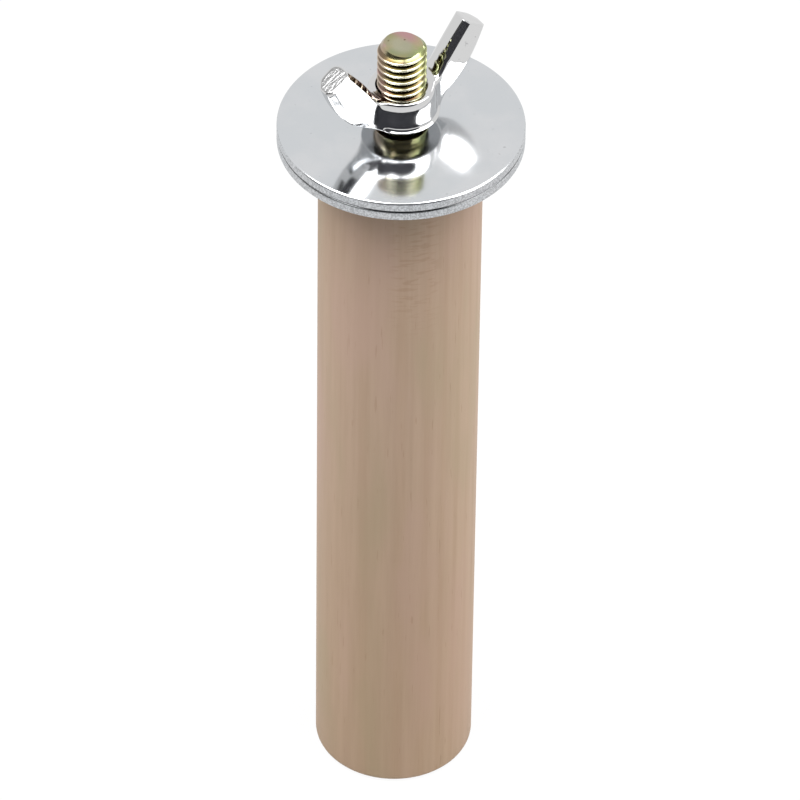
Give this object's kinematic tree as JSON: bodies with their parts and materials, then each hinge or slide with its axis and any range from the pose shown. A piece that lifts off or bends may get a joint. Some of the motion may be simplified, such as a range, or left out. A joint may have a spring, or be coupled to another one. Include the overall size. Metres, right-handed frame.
{
  "type": "bird perch",
  "caption": "Short round wooden bird perch with a hanger bolt in one end, large washers that clamp over cage bars, and a wing nut that screws down on them.",
  "frame": {"origin": "centre of the rod's free end, on the surface it stands on", "axes": "+Z runs along the rod from its free end to the stud; the wings of the nut lie 36 degrees from +X towards +Y"},
  "size_m": [0.03, 0.03, 0.115],
  "materials": {
    "pale_wood": "plain sanded wood, not varnished",
    "yellow_zinc": "steel with yellow zinc plating that shows green, gold and pink tints",
    "zinc_washer": "punched steel with smooth bright zinc plating",
    "bright_zinc": "forged steel with mirror-bright zinc plating"
  },
  "bodies": {
    "perch": {"perch_dowel": "pale_wood", "hanger_bolt": "yellow_zinc"},
    "inner_washer": {"inner_washer": "zinc_washer"},
    "outer_washer": {"outer_washer": "zinc_washer"},
    "wing_nut": {"wing_nut": "bright_zinc"}
  },
  "joints": [
    {"name": "nut_turn", "type": "hinge", "parent": "perch", "child": "inner_washer", "pos_m": [0, 0, 0.1], "axis": [0, 0, 1], "range_deg": [0, 3790]},
    {"name": "nut_rise", "type": "slide", "parent": "inner_washer", "child": "wing_nut", "axis": [0, 0, 1], "range_m": [0, 0.0105]},
    {"name": "washer_lift", "type": "slide", "parent": "perch", "child": "outer_washer", "axis": [0, 0, 1], "range_m": [0, 0.0019]}
  ],
  "couplings": [
    {"joint": "nut_turn", "follows": "nut_rise", "rad_per_m": 6283.2}
  ]
}
